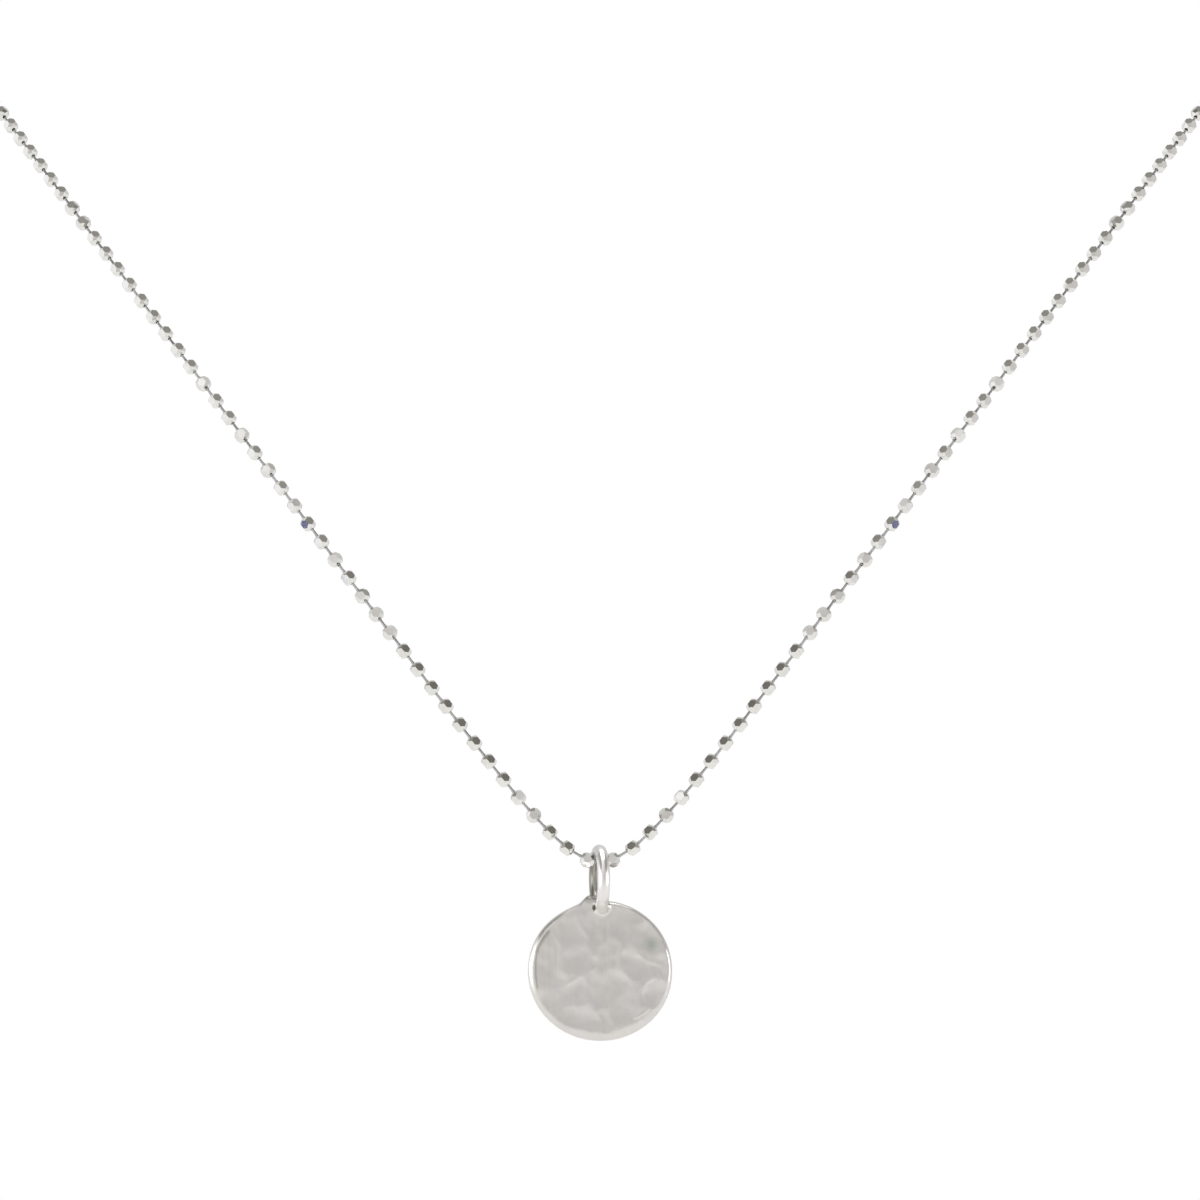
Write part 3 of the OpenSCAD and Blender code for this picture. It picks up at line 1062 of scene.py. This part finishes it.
def buildBeads():
    ball = cutBead()
    chance = random.Random(bead["seed"])
    rolls = list(bead["rolls"])
    while len(rolls) < sideCount:
        pale = chance.random() < bead["paleShare"]
        rolls.append(chance.uniform(*bead["paleRolls" if pale else "darkRolls"]))
    finish = plainSilver("beadSilver", beadLook)
    for name, node, mirrored in (("beadsLeft", "beads_left", False), ("beadsRight", "beads_right", True)):
        copies = []
        for k in range(sideCount):
            i = sideCount - 1 - k               # counted from the middle link up the left side
            copies.append(copyTo(ball, stand(places[i], beadDirection(i), rolls[k], mirrored)))
        row = joinPieces(copies, name)
        if mirrored:                            # a mirrored copy has its faces turned back outwards
            editMode(row)
            selectAll()
            bpy.ops.mesh.flip_normals()
            objectMode()
        row.data.materials.append(finish)
        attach(row, "chain")
        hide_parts(node)
        print(f"{name}: {len(row.data.polygons)} faces")
    discard(ball)


buildBeads()


# links: one short wire with a headed lower end, copied between the beads

link = {
    "sides": 8,
    "steps": [              # share of the way from the lower bead to the next, radius in mm
        (0.10, 0.15), (0.16, 0.15), (0.22, 0.115), (0.28, 0.115), (0.32, 0.14), (0.36, 0.14),
        (0.42, 0.112), (0.84, 0.112), (0.88, 0.15), (0.93, 0.15),
    ],
    "kink": 0.035, "kinkSpan": (0.41, 0.93),    # how far its upper part bends aside, and between which shares
    "rollStep": 53, "smoothAngle": 40,          # in degrees
}
linkLook = {
    "color": (0.60, 0.595, 0.60), "dull": (0.42, 0.41, 0.41), "roughness": 0.30,
    "scuffRoughness": 0.15, "cloudRoughness": 0.0, "cloudScale": 1500.0, "clouds": 0.4,
    "peelScale": 9000.0, "hairlineScale": 16000.0, "hairlines": 0.7, "bump": 0.5, "bumpDepth": 0.000003,
}


def wireLink():
    # one unit long along Z, stood between two beads by its copies
    start, radius = link["steps"][0]
    wire = newPiece(
        bpy.ops.mesh.primitive_circle_add, "wireLink",
        vertices=link["sides"], radius=radius, fill_type="NGON",
    )
    editMode(wire)
    selectAll()
    height, size = start, radius
    for share, radius in link["steps"][1:]:
        bpy.ops.mesh.extrude_region_move(TRANSFORM_OT_translate={"value": (0, 0, share - height)})
        bpy.ops.transform.resize(
            value=(radius / size, radius / size, 1), center_override=(0, 0, share - start))
        height, size = share, radius
    turnFacesOut()
    objectMode()
    low, high = link["kinkSpan"]
    for v in wire.data.vertices:
        v.co.z += start
        if low < v.co.z < high:
            v.co.x += link["kink"] * math.sin((v.co.z - low) / (high - low) * math.pi)
    pick(wire)
    bpy.ops.object.shade_smooth_by_angle(angle=math.radians(link["smoothAngle"]))
    return wire


def buildLinks():
    wire = wireLink()
    copies = []
    for i in range(len(places) - 1):
        # the headed end goes into the lower bead
        low, high = (i + 1, i) if places[i + 1].z < places[i].z else (i, i + 1)
        way = places[high] - places[low]
        length = way.length / mm
        place = stand(places[low], way.normalized(), link["rollStep"] * i)
        place = place @ Matrix.Diagonal((1, 1, length, 1))
        copies.append(copyTo(wire, place))
    discard(wire)
    run = joinPieces(copies, "wireLinks")
    run.data.materials.append(plainSilver("linkWire", linkLook))
    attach(run, "chain")
    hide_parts("links")
    print(f"links: {len(run.data.polygons)} faces")


buildLinks()


# clasp: a plain sleeve over the two end beads, hidden at the nape

clasp = {
    "radius": 1.2, "length": 4.25, "edge": 0.3, "chamberRadius": 0.82, "chamberLength": 3.35,
    "holeRadius": 0.4, "sides": 72, "weldWithin": 0.001, "seam": 0.4, "eyeRadius": 0.7, "eyeSides": 48,
    "bevel": 0.05, "bevelSegments": 2, "bevelAngle": 30, "smoothAngle": 35,     # angles in degrees
}
claspLook = {
    "color": (0.90, 0.89, 0.875), "dull": (0.68, 0.66, 0.62), "roughness": 0.16,
    "scuffRoughness": 0.12, "cloudRoughness": 0.0, "cloudScale": 700.0, "clouds": 0.35,
    "peelScale": 2500.0, "hairlineScale": 8000.0, "hairlines": 0.7, "bump": 0.4, "bumpDepth": 0.000004,
}


def turnedSleeve():
    # a ring of edges drawn along X and in and out, back to where it began
    half, inner = clasp["length"] / 2, clasp["chamberLength"] / 2
    outline = [
        (-half, clasp["holeRadius"]), (-half, clasp["radius"] - clasp["edge"]),
        (-half + clasp["edge"], clasp["radius"]), (half - clasp["edge"], clasp["radius"]),
        (half, clasp["radius"] - clasp["edge"]), (half, clasp["holeRadius"]),
        (inner, clasp["holeRadius"]), (inner, clasp["chamberRadius"]),
        (-inner, clasp["chamberRadius"]), (-inner, clasp["holeRadius"]), (-half, clasp["holeRadius"]),
    ]
    x, size = outline[0]
    sleeve = newPiece(
        bpy.ops.mesh.primitive_circle_add, "sleeve",
        vertices=clasp["sides"], radius=size, location=(x, 0, 0), rotation=(0, math.radians(90), 0),
    )
    editMode(sleeve, "EDGE")
    selectAll()
    for nextX, radius in outline[1:]:
        bpy.ops.mesh.extrude_region_move(TRANSFORM_OT_translate={"value": (nextX - x, 0, 0)})
        bpy.ops.transform.resize(value=(1, radius / size, radius / size), center_override=(nextX, 0, 0))
        x, size = nextX, radius
    selectAll()
    bpy.ops.mesh.remove_doubles(threshold=clasp["weldWithin"])
    turnFacesOut()
    objectMode()
    return sleeve


def claspCutters():
    # the seam along the sleeve and the round eye in it, both on the side away from the neck
    place, across = (0, clasp["radius"], 0), 2 * clasp["radius"]
    seam = newPiece(
        bpy.ops.mesh.primitive_cube_add, "seamCutter",
        size=1, location=place, scale=(2 * clasp["length"], across, clasp["seam"]),
    )
    eye = newPiece(
        bpy.ops.mesh.primitive_cylinder_add, "eyeCutter",
        vertices=clasp["eyeSides"], radius=clasp["eyeRadius"], depth=across,
        location=place, rotation=(math.radians(90), 0, 0),
    )
    return [seam, eye]


def buildClasp():
    sleeve = turnedSleeve()
    for cutter in claspCutters():
        opening = sleeve.modifiers.new("opening", "BOOLEAN")
        opening.operation = "DIFFERENCE"
        opening.solver = "EXACT"
        opening.object = cutter
        applyAll(sleeve)
        discard(cutter)
    edge = sleeve.modifiers.new("edge", "BEVEL")
    edge.width = clasp["bevel"]
    edge.segments = clasp["bevelSegments"]
    edge.limit_method = "ANGLE"
    edge.angle_limit = math.radians(clasp["bevelAngle"])
    applyAll(sleeve)
    pick(sleeve)
    bpy.ops.object.shade_smooth_by_angle(angle=math.radians(clasp["smoothAngle"]))
    toMetres(sleeve, Vector((0, 0, 0)))
    sleeve.data.materials.append(plainSilver("claspSilver", claspLook))
    sleeve.name = sleeve.data.name = "claspSleeve"
    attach(sleeve, "chain")
    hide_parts("clasp")
    print(f"clasp: {len(sleeve.data.polygons)} faces")


buildClasp()


# the softboxes' screens

def shadeTheChain():
    # the chain, whose cuts mirror the tent and the room, gets no light from the softboxes
    lit = bpy.data.collections.new("underTheSoftboxes")
    for name in ("hammeredPendant", "studioFloor"):
        lit.objects.link(bpy.data.objects[name])
    for name in ("leftSoftbox", "rightSoftbox", "topSoftbox"):
        bpy.data.objects[name].light_linking.receiver_collection = lit


shadeTheChain()
print("stage: softboxes screened from the chain")

bpy.context.view_layer.update()
